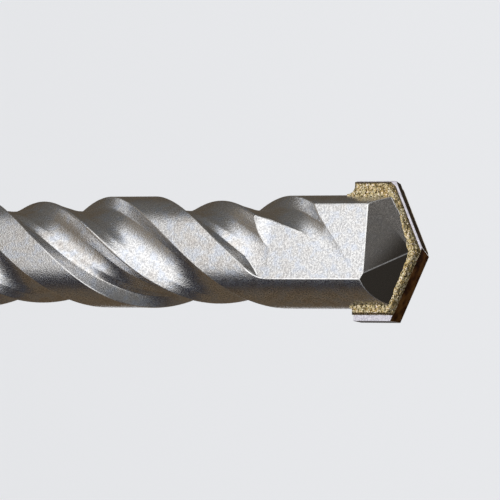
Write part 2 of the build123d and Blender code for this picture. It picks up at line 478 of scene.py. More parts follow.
@dataclass(frozen=True)
class SteelBody:
    """Shank, flutes and milled head in one piece of steel."""

    drill: Drill
    plain_length: float = 60.0
    taper_length: float = 4.0
    collar_length: float = 2.0
    runout_length: float = 9.0
    runout_depth: float = 0.3
    end_of_flutes: float = 5.8
    shank_chamfer: float = 0.8
    drive_groove_width: float = 5.0
    drive_groove_depth: float = 1.7
    drive_groove_length: float = 29.0
    drive_runout_radius: float = 9.0
    drive_runout_turn: float = 60.0
    ball_groove_radius: float = 3.6
    ball_groove_depth: float = 1.8
    ball_groove_start: float = 8.5
    ball_groove_end: float = 28.5
    section_allowance: float = 0.2
    flute_foot: Corner = Corner(3.28, 10.0, 0.25)
    floor_middle_angle: float = 57.0
    floor_half_angle: float = 12.5
    floor_rounding: float = 1.2
    ridge_front: Corner = Corner(3.94, 87.5, 0.3)
    ridge_rear: Corner = Corner(3.46, 102.5, 0.6)
    rear_floor: Corner = Corner(3.16, -43.5, 1.2)
    rear_foot: Corner = Corner(3.29, -13.0, 0.5)
    flat_runout_start: float = 11.0
    flat_runout_radius: float = 3.0
    shoulder_radius: float = 3.0
    shoulder_reach: float = 1.6
    shoulder_inset: float = 0.05
    shoulder_draft: float = 45.0
    shoulder_step: float = 4.6
    shoulder_steps: int = 25
    web_lead: float = 0.75
    web_drop: float = 0.03
    web_rise_length: float = 1.0
    wall_depth: float = 2.0
    overlap: float = 0.4
    spare: float = 0.02
    cone_setback: float = 0.05
    cone_angle: float = 124.0
    main_facet: Facet = Facet(32.0, 3.75, 0.0)
    side_facet: Facet = Facet(41.8, 4.1, -30.1)
    slot_length: float = 5.2
    rear_margin: float = 1.0
    beyond: float = 10.0
    turn_steps: int = 180
    groove_steps: int = 96
    round_steps: int = 24
    sharp_angle: float = 15.0
    edge_angle: float = 24.0
    edge_width: float = 0.045
    weld_distance: float = 0.02

    def section(self) -> list[Corner]:
        """The fluted section, before its lands are turned to their radius.

        Returns:
            The corners in order, with their angles from a land's centre.
        """
        uncut = self.drill.land_radius / cos(radians(self.drill.land_half_angle)) + self.section_allowance
        half = self.drill.land_half_angle
        floor = self.drill.flat_distance / cos(radians(self.floor_half_angle))
        corners = []
        for turn in (0, 180):
            after = turn + 180 - half
            corners += [
                Corner(uncut, turn - half),
                Corner(uncut, turn + half),
                self.flute_foot.turned(turn + half),
                Corner(floor, turn + self.floor_middle_angle - self.floor_half_angle, self.floor_rounding),
                Corner(floor, turn + self.floor_middle_angle + self.floor_half_angle, self.floor_rounding),
                self.ridge_front.turned(turn),
                self.ridge_rear.turned(turn),
                self.rear_floor.turned(after),
                self.rear_foot.turned(after),
                Corner(uncut, after),
            ]
        return corners

    def shoulder_line(self) -> list[tuple[float, float]]:
        """The land's edge as it leaves the flute and runs along the flat.

        Returns:
            Stations and offsets across the flat, from the front to the rear.
        """
        drill = self.drill
        half_width = drill.flat_half_width()
        turn = drill.land_azimuth_at_point + drill.land_half_angle + drill.flat_edge_angle() - 180
        corner = drill.length + turn * drill.pitch / 360
        rear = corner - self.shoulder_reach
        edge = drill.land_azimuth(rear) - 180 + drill.land_half_angle
        front = (self.fluted_end() + self.overlap, -half_width)
        last = (rear, drill.land_radius * sin(radians(edge)) - self.shoulder_inset)
        middle = (corner, -half_width)
        return [front, *rounded(front, middle, last, self.shoulder_radius, self.round_steps), last]

    def fluted_end(self) -> float:
        """Station where the flutes end in the head."""
        return self.drill.length - self.end_of_flutes

    def shoulder_wedge(self) -> bpy.types.Object:
        """What bounds the shoulder, with a wall that slopes from the land's edge to the flat.

        Returns:
            The solid.
        """
        drill = self.drill
        line = self.shoulder_line()
        slope = tan(radians(self.shoulder_draft))
        wall_foot, top = drill.flat_distance - self.wall_depth, drill.land_radius + self.overlap
        made = bmesh.new()
        rings = []
        for height, level in ((-self.beyond, wall_foot), (wall_foot, wall_foot), (top, top)):
            ring = []
            for index, (station, offset) in enumerate(line):
                before, after = Vector(line[max(index - 1, 0)]), Vector(line[min(index + 1, len(line) - 1)])
                run = (after - before).normalized()
                edge = (drill.land_radius**2 - offset**2) ** 0.5
                inward = Vector((run.y, -run.x)) * (edge - level) * slope
                ring.append((station + inward.x, offset + inward.y))
            ring[0], ring[-1] = (line[0][0], ring[0][1]), (line[-1][0], ring[-1][1])
            ring += [(line[-1][0], -self.beyond), (line[0][0], -self.beyond)]
            rings.append([made.verts.new((-offset, -height, station)) for station, offset in ring])
        made.faces.new(rings[0])
        made.faces.new(rings[-1])
        count = len(rings[0])
        for lower, upper in zip(rings, rings[1:]):
            for step in range(count):
                more = (step + 1) % count
                made.faces.new([lower[step], lower[more], upper[more], upper[step]])
        return from_bmesh("wedge", made)

    def shoulder(self, material: bpy.types.Material) -> bpy.types.Object:
        """The solid stretch beside the flat.

        Args:
            material: the steel's finish.

        Returns:
            The solid, twisted with the pitch inside its wedge.
        """
        wide = self.drill.land_radius + self.overlap
        rim = [Corner(wide, 180 + step * self.shoulder_step) for step in range(self.shoulder_steps)]
        rear, front = self.shoulder_line()[-1][0] - self.overlap, self.fluted_end() + 2 * self.overlap
        swept = FluteSweep(self.drill).sweep("shoulder", [Corner(0.0, 0.0), *rim], rear, front, material)
        return combine(swept, Operation.KEEP_INSIDE, self.shoulder_wedge())

    def web(self) -> bpy.types.Object:
        """What fills the front flute up to the flat.

        Returns:
            The solid, from under the flute's floor to the head.
        """
        drill = self.drill
        turn = drill.land_azimuth_at_point + self.floor_middle_angle - 180
        rear = drill.length + turn * drill.pitch / 360 - self.web_lead
        flat_start = drill.length - self.flat_runout_start
        front = self.fluted_end() + 2 * self.overlap
        top = drill.flat_distance + self.overlap / 2
        outline = [
            (rear, 0),
            (rear, drill.flat_distance - self.web_drop),
            (flat_start, drill.flat_distance),
            (flat_start + self.web_rise_length, top),
            (front, top),
            (front, 0),
        ]
        return prism("web", outline, drill.around(-90), 0, drill.flat_half_width() + self.overlap)

    def blank(self, material: bpy.types.Material) -> bpy.types.Object:
        """The body before grooves, facets and slot: flutes, flats and shoulders in the turned outline.

        Args:
            material: the steel's finish.

        Returns:
            The solid.
        """
        drill = self.drill
        flute_start = self.plain_length + self.taper_length + self.collar_length
        body = FluteSweep(drill).sweep("steel_body", self.section(), flute_start - self.overlap,
                                       self.fluted_end() + self.overlap / 2, material)
        wide = drill.land_radius + self.overlap
        head = [(self.fluted_end(), 0), (self.fluted_end(), wide), (drill.length, wide), (drill.length, 0)]
        body = combine(body, Operation.JOIN, lathe("core", self.core(), self.turn_steps))
        body = combine(body, Operation.JOIN, lathe("head", head, self.turn_steps))
        for part in (self.shoulder(material), self.web()):
            body = combine(body, Operation.JOIN, turned_copy(part, 180))
            body = combine(body, Operation.JOIN, part)
        cutter = self.flat_cut()
        body = combine(body, Operation.TAKE_AWAY, turned_copy(cutter, 180))
        body = combine(body, Operation.TAKE_AWAY, cutter)
        return combine(body, Operation.KEEP_INSIDE, lathe("envelope", self.envelope(), self.turn_steps))

    def core(self) -> list[tuple[float, float]]:
        """Outline of the shank and of the core that the flutes run out on.

        Returns:
            Stations and radii, from behind the rear face to the runout's end.
        """
        drill = self.drill
        start = self.plain_length + self.taper_length + self.collar_length
        depth = drill.land_radius - (drill.flat_distance - self.runout_depth)
        radius = (self.runout_length**2 + depth**2) / (2 * depth)
        turn = degrees(acos((radius - depth) / radius))
        curve = arc((start, drill.land_radius - radius + self.spare), radius, 90, -turn, self.round_steps)
        wide = drill.shank_radius + self.overlap
        rear = -self.rear_margin
        return [(rear, 0), (rear, wide), (start, wide), *curve, (start + self.runout_length, 0)]

    def envelope(self) -> list[tuple[float, float]]:
        """Outline that nothing stands out of.

        Returns:
            Stations and radii, from the rear face to the cone at the point.
        """
        drill = self.drill
        cone = drill.length - self.cone_setback
        return [
            (0, 0),
            (0, drill.shank_radius - self.shank_chamfer),
            (self.shank_chamfer, drill.shank_radius),
            (self.plain_length, drill.shank_radius),
            (self.plain_length + self.taper_length, drill.land_radius),
            (cone - drill.land_radius / tan(radians(self.cone_angle / 2)), drill.land_radius),
            (cone, 0),
        ]

    def flat_cut(self) -> bpy.types.Object:
        """What the mill takes off above the front flat.

        Returns:
            The cutter, with a floor that rises at its rear end.
        """
        drill = self.drill
        top = drill.length + self.beyond
        center = (drill.length - self.flat_runout_start, drill.flat_distance + self.flat_runout_radius)
        floor = arc(center, self.flat_runout_radius, 180, 90, self.round_steps)
        side = [*floor, (top, drill.flat_distance), (top, self.beyond), (floor[0][0], self.beyond)]
        return prism("flat_cut", side, drill.around(-90), -self.beyond, self.beyond)

    def drive_groove(self) -> bpy.types.Object:
        """One groove that is open at the rear face.

        Returns:
            The cutter, with a floor that rises at its front end.
        """
        floor = self.drill.shank_radius - self.drive_groove_depth
        radius = self.drive_runout_radius
        reach = (radius**2 - (radius - self.drive_groove_depth) ** 2) ** 0.5
        center = (self.drive_groove_length - reach, floor + radius)
        rise = arc(center, radius, 270, self.drive_runout_turn, self.round_steps)
        outline = [*rise, (-self.beyond, rise[-1][1]), (-self.beyond, floor)]
        half = self.drive_groove_width / 2
        return prism("drive_groove", outline, self.drill.around(-90), -half, half)

    def ball_groove(self) -> bpy.types.Object:
        """One groove that is closed at both ends, hollowed by a ball's path along the shank.

        Returns:
            The cutter.
        """
        radius = self.ball_groove_radius
        reach = (radius**2 - (radius - self.ball_groove_depth) ** 2) ** 0.5
        rear, front = self.ball_groove_start + reach, self.ball_groove_end - reach
        steps = self.round_steps
        outline = arc((rear, 0), radius, 180, -90, steps) + arc((front, 0), radius, 90, -90, steps)
        outline = [(station, max(height, 0)) for station, height in outline]
        outline[0], outline[-1] = (rear - radius, 0), (front + radius, 0)
        made = lathe("ball_groove", outline, self.groove_steps)
        height = self.drill.shank_radius - self.ball_groove_depth + radius
        made.data.transform(Matrix.Translation(self.drill.around(90) * height))
        return made

    def facet_cut(self, facet: Facet, distance: float) -> bpy.types.Object:
        """A block that takes off what lies above a ground facet.

        Args:
            facet: the facet.
            distance: how far from the axis it starts.

        Returns:
            The block.
        """
        slant = radians(facet.slant)
        step = Vector((cos(slant), -sin(slant))) * 2 * self.beyond
        foot = Vector((self.drill.length - facet.start, distance))
        low, high = foot - step, foot + step
        away = Vector((sin(slant), cos(slant))) * 2 * self.beyond
        outline = [tuple(low), tuple(high), tuple(high + away), tuple(low + away)]
        return prism("facet_cut", outline, self.drill.around(facet.azimuth - 90), -self.beyond, self.beyond)

    def slot(self) -> bpy.types.Object:
        """The slot across the head, wider and deeper than the plate by the film of filler metal.

        Returns:
            The cutter.
        """
        drill = self.drill
        half = drill.plate_half_thickness + drill.film
        rear = drill.length - self.slot_length
        top = drill.length + self.beyond
        outline = [(rear, -self.beyond), (top, -self.beyond), (top, self.beyond), (rear, self.beyond)]
        return prism("slot", outline, drill.around(drill.plate_azimuth), -half, half)

    def build(self, material: bpy.types.Material, edge: bpy.types.Material) -> bpy.types.Object:
        """Makes the whole piece and breaks its edges.

        Args:
            material: the steel's finish.
            edge: the bright finish of its worn edges, partly a painted highlight.

        Returns:
            The finished object.
        """
        body = self.blank(material)
        cuts = [
            self.drive_groove(),
            self.ball_groove(),
            self.facet_cut(self.main_facet, self.drill.flat_distance),
            self.facet_cut(self.side_facet, self.drill.land_radius),
        ]
        for cut in cuts:
            body = combine(body, Operation.TAKE_AWAY, turned_copy(cut, 180))
            body = combine(body, Operation.TAKE_AWAY, cut)
        body = combine(body, Operation.TAKE_AWAY, self.slot())
        weld(body, self.weld_distance)
        body = edge_broken(body, self.edge_width, self.edge_angle)
        return finished(body, "steel_body_dressed", [material, edge], self.sharp_angle)


@dataclass(frozen=True)
class CarbidePlate:
    """The flat plate of cemented carbide across the head, its point ground back behind each edge."""

    drill: Drill
    width: float = 10.3
    rear_setback: float = 5.1
    point_angle: float = 134.0
    relief_angle: float = 6.5
    edge_width: float = 0.022
    edge_angle: float = 20.0
    sharp_angle: float = 30.0
    beyond: float = 10.0

    def build(self, material: bpy.types.Material, edge: bpy.types.Material) -> bpy.types.Object:
        """Makes the plate with its sharp edges lightly broken.

        Args:
            material: the ground carbide's finish.
            edge: the bright finish of its edges, a painted highlight.

        Returns:
            The finished object.
        """
        drill = self.drill
        face = drill.around(drill.plate_azimuth)
        half, slope = self.width / 2, 1 / tan(radians(self.point_angle / 2))
        tip, rear = drill.length + self.beyond, drill.length - self.rear_setback
        outline = [(rear, -half), (tip, -half), (tip, half), (rear, half)]
        plate = prism("plate", outline, face, -drill.plate_half_thickness, drill.plate_half_thickness)
        cut = bmesh.new()
        cut.from_mesh(plate.data)
        for turn in (0, 180):
            across = drill.around(drill.plate_azimuth + turn + 90) * slope
            relief = drill.around(drill.plate_azimuth + turn) * tan(radians(self.relief_angle))
            bmesh.ops.bisect_plane(
                cut, geom=[*cut.verts, *cut.edges, *cut.faces], plane_co=(0, 0, drill.length),
                plane_no=Vector((0, 0, 1)) + across - relief, clear_outer=True)
            bmesh.ops.holes_fill(cut, edges=[e for e in cut.edges if e.is_boundary])
        bmesh.ops.recalc_face_normals(cut, faces=cut.faces)
        cut.to_mesh(plate.data)
        cut.free()
        plate = edge_broken(plate, self.edge_width, self.edge_angle)
        return finished(plate, "carbide_tip_dressed", [material, edge], self.sharp_angle)


@dataclass(frozen=True)
class FillerMetal:
    """The granular filler metal: a sheet on each face of the plate and fillets at its rear corners."""

    drill: Drill
    steel: SteelBody
    plate: CarbidePlate
    front_margin: float = 0.08
    corner_margin: float = 0.32
    swell: float = 0.22
    swell_reach: float = 0.55
    lower_margin: float = 0.45
    upper_margin: float = 0.06
    film: float = 0.1
    coat: float = 0.03
    creep: float = 0.05
    creep_waves: float = 0.12
    creep_scale: float = 1.7
    wave_scale: float = 1.6
    grain_height: float = 0.07
    grain_scale: float = 3.6
    grain_roughness: float = 0.62
    grain_middle: float = 0.42
    grain_share: float = 2.2
    blob_scale: float = 4.5
    blob_middle: float = 0.6
    rim_width: float = 0.16
    rim_share: float = 0.25
    thinnest: float = 0.01
    sink: float = 0.01
    cell: float = 0.055
    merge_distance: float = 1e-4
    corner_slope: float = 0.7
    corner_radii: tuple[float, float] = (0.6, 0.2)
    corner_steps: int = 10
    corner_foot: float = 0.5
    corner_share: float = 0.7
    sharp_angle: float = 60.0
    seed: float = 3.0

    def facet_level(self, facet: Facet, distance: float) -> tuple[float, float, float]:
        """A facet as a height over the plate's middle plane.

        Args:
            facet: the facet.
            distance: how far from the axis it starts.

        Returns:
            The height at station 0 on the axis, and its growth along the drill and across it.
        """
        drill = self.drill
        normal = Vector((0, 0, tan(radians(facet.slant)))) + drill.around(facet.azimuth)
        level = normal.z * (drill.length - facet.start) + distance
        face = drill.around(drill.plate_azimuth)
        across = face.cross(Vector((0, 0, 1)))
        lean = normal.dot(face)
        return level / lean, -normal.z / lean, -normal.dot(across) / lean

    def tree(self) -> bpy.types.NodeTree:
        """Builds the tree that lays one granular sheet on the plate's face.

        Returns:
            The tree, with its sizes as named inputs.
        """
        group = bpy.data.node_groups.new("filler_sheet", "GeometryNodeTree")
        face = group.interface
        names = ("Rear", "Tip", "Slope", "Lower", "Upper", "Corner", "Base", "Film", "Swell", "Swell Reach",
                 "Coat", "Creep", "Creep Waves", "Grain", "Cell", "Azimuth", "Land Radius", "Seed")
        for name in names:
            face.new_socket(name, in_out="INPUT", socket_type="NodeSocketFloat")
        for name in ("Main Facet", "Side Facet"):
            face.new_socket(name, in_out="INPUT", socket_type="NodeSocketVector")
        face.new_socket("Material", in_out="INPUT", socket_type="NodeSocketMaterial")
        face.new_socket("Sheet", in_out="OUTPUT", socket_type="NodeSocketGeometry")
        t = Tree(group)
        given = t.node("NodeGroupInput").outputs

        length = t.math("SUBTRACT", given["Tip"], given["Rear"])
        width = t.math("SUBTRACT", given["Upper"], given["Lower"])
        counts = [t.math("CEIL", t.math("DIVIDE", size, given["Cell"])) for size in (length, width)]
        grid = t.node("GeometryNodeMeshGrid", {
            "Size X": 1.0, "Size Y": 1.0, "Vertices X": counts[0], "Vertices Y": counts[1]})
        under = t.node("GeometryNodeFlipFaces", {"Mesh": grid.outputs["Mesh"]})
        over = t.node("GeometryNodeExtrudeMesh", {
            "Mesh": grid.outputs["Mesh"], "Offset": (0, 0, 1), "Offset Scale": 1.0, "Individual": False})
        both = t.node("GeometryNodeJoinGeometry")
        for part in (under, over):
            t.tree.links.new(part.outputs[0], both.inputs[0])
        slab = t.node("GeometryNodeMergeByDistance", {
            "Geometry": both, "Distance": self.merge_distance})

        place = t.node("ShaderNodeSeparateXYZ", {"Vector": t.node("GeometryNodeInputPosition")}).outputs
        share = t.math("ADD", place["X"], 0.5)
        along = t.node("ShaderNodeCombineXYZ", {"X": t.math("MULTIPLY", share, length), "Z": given["Seed"]})
        waves = t.node("ShaderNodeTexNoise", {
            "Vector": along, "Scale": self.wave_scale, "Detail": 3.0}, noise_dimensions="3D")
        wobble = t.math("MULTIPLY", t.math("SUBTRACT", waves.outputs["Fac"], 0.5), given["Creep Waves"])
        lower = t.math("ADD", given["Lower"], wobble)
        offset = t.math("MULTIPLY_ADD", t.math("ADD", place["Y"], 0.5),
                        t.math("SUBTRACT", given["Upper"], lower), lower)
        front = t.math("MULTIPLY_ADD", t.math("ABSOLUTE", offset), t.math("MULTIPLY", given["Slope"], -1.0),
                       given["Tip"])
        near_corner = t.math("SUBTRACT", offset, t.math("SUBTRACT", given["Upper"], given["Corner"]))
        cut_off = t.math("MULTIPLY", t.math("MAXIMUM", near_corner, 0.0), self.corner_slope)
        front = t.math("SUBTRACT", front, cut_off)
        station = t.math("MULTIPLY_ADD", share, t.math("SUBTRACT", front, given["Rear"]), given["Rear"])

        here = t.node("ShaderNodeCombineXYZ", {"X": station, "Y": offset, "Z": given["Seed"]})
        grains = t.node("ShaderNodeTexNoise", {
            "Vector": here, "Scale": self.grain_scale, "Detail": 4.0,
            "Roughness": self.grain_roughness}, noise_dimensions="3D")
        grain = t.math("SUBTRACT", grains.outputs["Fac"], self.grain_middle)
        grain = t.math("MULTIPLY", grain, given["Grain"])
        blobs = t.node("ShaderNodeTexVoronoi", {"Vector": here, "Scale": self.blob_scale, "Randomness": 1.0},
                       voronoi_dimensions="3D", feature="SMOOTH_F1")
        blob = t.math("SUBTRACT", self.blob_middle, blobs.outputs["Distance"])
        blob = t.math("MULTIPLY", blob, given["Grain"])
        rough = t.math("ADD", t.math("MULTIPLY", grain, self.grain_share), blob)
        behind = t.math("DIVIDE", t.math("SUBTRACT", front, station), given["Swell Reach"])
        swollen = t.node("ShaderNodeMapRange", {"Value": behind, "From Min": 0.0, "From Max": 1.0},
                         interpolation_type="SMOOTHSTEP").outputs["Result"]
        film = t.math("MULTIPLY_ADD", swollen, given["Swell"], given["Film"])
        open_level = t.math("ADD", t.math("ADD", given["Base"], film), rough)

        levels = []
        for name in ("Main Facet", "Side Facet"):
            facet = t.node("ShaderNodeSeparateXYZ", {"Vector": given[name]}).outputs
            along = t.math("MULTIPLY_ADD", facet["Y"], station, facet["X"])
            levels.append(t.math("MULTIPLY_ADD", facet["Z"], offset, along))
        chord = t.math("SUBTRACT", t.math("POWER", given["Land Radius"], 2.0), t.math("POWER", offset, 2.0))
        levels.append(t.math("SQRT", t.math("MAXIMUM", chord, 0.0)))
        steel = t.math("MINIMUM", t.math("MINIMUM", levels[0], levels[1]), levels[2])
        creep_noise = t.node("ShaderNodeTexNoise", {
            "Vector": here, "Scale": self.creep_scale, "Detail": 3.0}, noise_dimensions="3D").outputs["Fac"]
        climb = t.math("MULTIPLY_ADD", t.math("SUBTRACT", creep_noise, 0.5),
                       t.math("MULTIPLY", given["Creep Waves"], 2.0), given["Creep"])
        highest = t.math("ADD", t.math("ADD", given["Base"], film), climb)
        coated = t.math("MINIMUM", t.math("ADD", t.math("ADD", steel, given["Coat"]), rough), highest)
        level = t.math("MAXIMUM", open_level, coated)

        edges = [t.math("SUBTRACT", 0.5, t.math("ABSOLUTE", place[axis])) for axis in ("X", "Y")]
        reach = [t.math("MULTIPLY", edges[0], length), t.math("MULTIPLY", edges[1], width)]
        nearest = t.math("MINIMUM", reach[0], reach[1])
        rise = t.node("ShaderNodeMapRange", {
            "Value": nearest, "From Min": 0.0, "From Max": self.rim_width,
            "To Min": self.rim_share, "To Max": 1.0}, interpolation_type="SMOOTHSTEP")
        thick = t.math("MAXIMUM", t.math("SUBTRACT", level, given["Base"]), self.thinnest)
        thick = t.math("MULTIPLY", thick, rise.outputs["Result"])
        height = t.math("MULTIPLY_ADD", place["Z"], thick, given["Base"])

        turn = t.math("MULTIPLY", given["Azimuth"], pi / 180)
        flat_place = t.node("ShaderNodeCombineXYZ", {
            "X": t.math("MULTIPLY", offset, -1.0), "Y": t.math("MULTIPLY", height, -1.0), "Z": station})
        turned = t.node("ShaderNodeVectorRotate", {
            "Vector": flat_place, "Axis": (0, 0, 1), "Angle": t.math("MULTIPLY", turn, -1.0)},
            rotation_type="AXIS_ANGLE")
        moved = t.node("GeometryNodeSetPosition", {"Geometry": slab, "Position": turned})
        real = t.node("GeometryNodeRealizeInstances", {"Geometry": moved})
        dressed = t.node("GeometryNodeSetMaterial", {"Geometry": real, "Material": given["Material"]})
        t.node("NodeGroupOutput", {"Sheet": dressed})
        return group

    def sheet(self, turn: float, material: bpy.types.Material) -> bpy.types.Object:
        """The filler metal on one face of the plate.

        Args:
            turn: angle from the plate's azimuth to the one that the face looks to.
            material: its finish.

        Returns:
            The granular sheet.
        """
        drill = self.drill
        half = self.plate.width / 2
        start = new_object("filler_sheet", bpy.data.meshes.new("filler_sheet"))
        sizes = {
            "Rear": drill.length - self.plate.rear_setback - self.film,
            "Tip": drill.length - self.front_margin,
            "Slope": 1 / tan(radians(self.plate.point_angle / 2)),
            "Lower": self.lower_margin - half,
            "Upper": half - self.upper_margin,
            "Corner": self.corner_margin,
            "Base": drill.plate_half_thickness - self.sink,
            "Film": self.film,
            "Swell": self.swell,
            "Swell Reach": self.swell_reach,
            "Coat": self.coat,
            "Creep": self.creep,
            "Creep Waves": self.creep_waves,
            "Grain": self.grain_height,
            "Cell": self.cell,
            "Azimuth": drill.plate_azimuth + turn,
            "Land Radius": drill.land_radius,
            "Seed": self.seed + turn,
            "Main Facet": self.facet_level(self.steel.main_facet, drill.flat_distance),
            "Side Facet": self.facet_level(self.steel.side_facet, drill.land_radius),
            "Material": material,
        }
        return grown(start, self.tree(), sizes)

    def corner(self, turn: float, radius: float) -> bpy.types.Object:
        """One hollow fillet behind the plate.

        Args:
            turn: angle from the plate's azimuth to the face that the fillet is drawn on.
            radius: the hollow's radius.

        Returns:
            The fillet.
        """
        drill = self.drill
        rear = drill.length - self.plate.rear_setback - self.film - radius
        hollow = arc((rear, drill.land_radius + radius), radius, 270, 90, self.corner_steps)
        foot = drill.land_radius - self.corner_foot
        front = hollow[-1][0] + self.film
        outline = [*hollow, (front, hollow[-1][1]), (front, foot), (rear, foot)]
        half = drill.plate_half_thickness + self.film * self.corner_share
        return prism("filler_corner", outline, drill.around(drill.plate_azimuth + turn), -half, half)

    def build(self, material: bpy.types.Material) -> bpy.types.Object:
        """Makes all the filler metal as one object.

        Args:
            material: its finish.

        Returns:
            The finished object.
        """
        parts = [self.sheet(turn, material) for turn in (0, 180)]
        parts += [self.corner(turn, radius) for turn, radius in zip((0, 180), self.corner_radii)]
        return finished(joined(parts), "braze_dressed", [material], self.sharp_angle)


def joined(parts: list[bpy.types.Object]) -> bpy.types.Object:
    """Puts several objects' meshes into the first one.

    Args:
        parts: the objects; all but the first are removed.

    Returns:
        The first object.
    """
    made = bmesh.new()
    for part in parts:
        made.from_mesh(part.data)
    first = parts[0]
    made.to_mesh(first.data)
    made.free()
    for part in parts[1:]:
        bpy.data.objects.remove(part)
    return first


def weld(solid: bpy.types.Object, distance: float) -> None:
    """Joins points that are near each other and closes the pinholes that booleans leave.

    Args:
        solid: the solid that is changed.
        distance: points that are nearer than this are joined.
    """
    made = bmesh.new()
    made.from_mesh(solid.data)
    bmesh.ops.remove_doubles(made, verts=made.verts, dist=distance)
    bmesh.ops.dissolve_degenerate(made, dist=distance / 10, edges=made.edges)
    bmesh.ops.holes_fill(made, edges=[edge for edge in made.edges if edge.is_boundary])
    made.to_mesh(solid.data)
    made.free()


def edge_broken(solid: bpy.types.Object, width: float, angle: float) -> bpy.types.Object:
    """Breaks a solid's sharp edges, with its second finish on the strips.

    Args:
        solid: the solid.
        width: how wide the strips are.
        angle: edges that turn by more are broken.

    Returns:
        The solid with its edges broken.
    """
    for _ in range(2 - len(solid.data.materials)):
        solid.data.materials.append(None)
    modifier = solid.modifiers.new("edges", "BEVEL")
    modifier.width = width
    modifier.segments = 1
    modifier.limit_method = "ANGLE"
    modifier.angle_limit = radians(angle)
    modifier.use_clamp_overlap = False
    modifier.material = 1
    return baked(solid, solid.name)


def finished(solid: bpy.types.Object, name: str, materials: list, sharp_angle: float) -> bpy.types.Object:
    """Shades a solid, names it and scales it to metres.

    Args:
        solid: the solid in millimetres.
        name: the finished piece's name.
        materials: its finishes, in the order of its faces' indices.
        sharp_angle: an edge that turns by more stays sharp.

    Returns:
        The same object.
    """
    mesh = solid.data
    mesh.transform(Matrix.Scale(MM, 4))
    kept = [0] * len(mesh.polygons)
    mesh.polygons.foreach_get("material_index", kept)
    mesh.materials.clear()
    for material in materials:
        mesh.materials.append(material)
    mesh.polygons.foreach_set("material_index", [min(index, len(materials) - 1) for index in kept])
    mesh.shade_smooth()
    mesh.set_sharp_from_angle(angle=radians(sharp_angle))
    solid.name = name
    mesh.name = name
    return solid


# Finishes


class Finish:
    """A metal whose colour and bump come from noise in the piece's own millimetres."""

    def start(self, name: str) -> tuple:
        """Starts a material.

        Args:
            name: its name.

        Returns:
            The material, its tree, its shader and the place in millimetres.
        """
        made = bpy.data.materials.new(name)
        made.use_nodes = True
        t = Tree(made.node_tree)
        shader = made.node_tree.nodes["Principled BSDF"]
        shader.inputs["Metallic"].default_value = 1.0
        place = t.node("ShaderNodeTexCoord").outputs["Object"]
        scaled = t.node("ShaderNodeMapping", {"Vector": place, "Scale": (1 / MM,) * 3})
        return made, t, shader, scaled.outputs["Vector"]

    def noise(self, t: Tree, place: object, per_mm: float, detail: float = 2.0,
              roughness: float = 0.55) -> bpy.types.NodeSocket:
        """Adds a noise texture.

        Args:
            t: the material's tree.
            place: the place in millimetres.
            per_mm: about how many features it has to a millimetre.
            detail: how many finer layers it has.
            roughness: how strong those layers are.

        Returns:
            The noise, about 0.5 on average.
        """
        return t.node("ShaderNodeTexNoise", {"Vector": place, "Scale": per_mm, "Detail": detail,
                                             "Roughness": roughness}).outputs["Fac"]

    def ramp(self, t: Tree, value: object, low: float, high: float, smooth: bool = True,
             bottom: float = 0.0, top: float = 1.0) -> bpy.types.NodeSocket:
        """Maps a value between two limits to a share.

        Args:
            t: the material's tree.
            value: the value.
            low: where the share is the bottom one; it may be the higher limit.
            high: where it is the top one.
            smooth: whether the ends are eased.
            bottom: the share at low.
            top: the share at high.

        Returns:
            The share.
        """
        kind = "SMOOTHSTEP" if smooth else "LINEAR"
        return t.node("ShaderNodeMapRange", {
            "Value": value, "From Min": low, "From Max": high, "To Min": bottom, "To Max": top},
            interpolation_type=kind).outputs["Result"]

    def mix(self, t: Tree, share: object, first: object, second: object) -> bpy.types.NodeSocket:
        """Mixes two colours.

        Args:
            t: the material's tree.
            share: how much of the second one there is.
            first: the first colour, or a socket.
            second: the second colour, or a socket.

        Returns:
            The mixed colour.
        """
        made = t.node("ShaderNodeMix", {"Factor": share}, data_type="RGBA")
        for name, value in (("A", first), ("B", second)):
            socket = next(s for s in made.inputs if s.name == name and s.type == "RGBA")
            if isinstance(value, bpy.types.NodeSocket):
                t.tree.links.new(value, socket)
            else:
                socket.default_value = (*value, 1)
        return next(o for o in made.outputs if o.type == "RGBA")


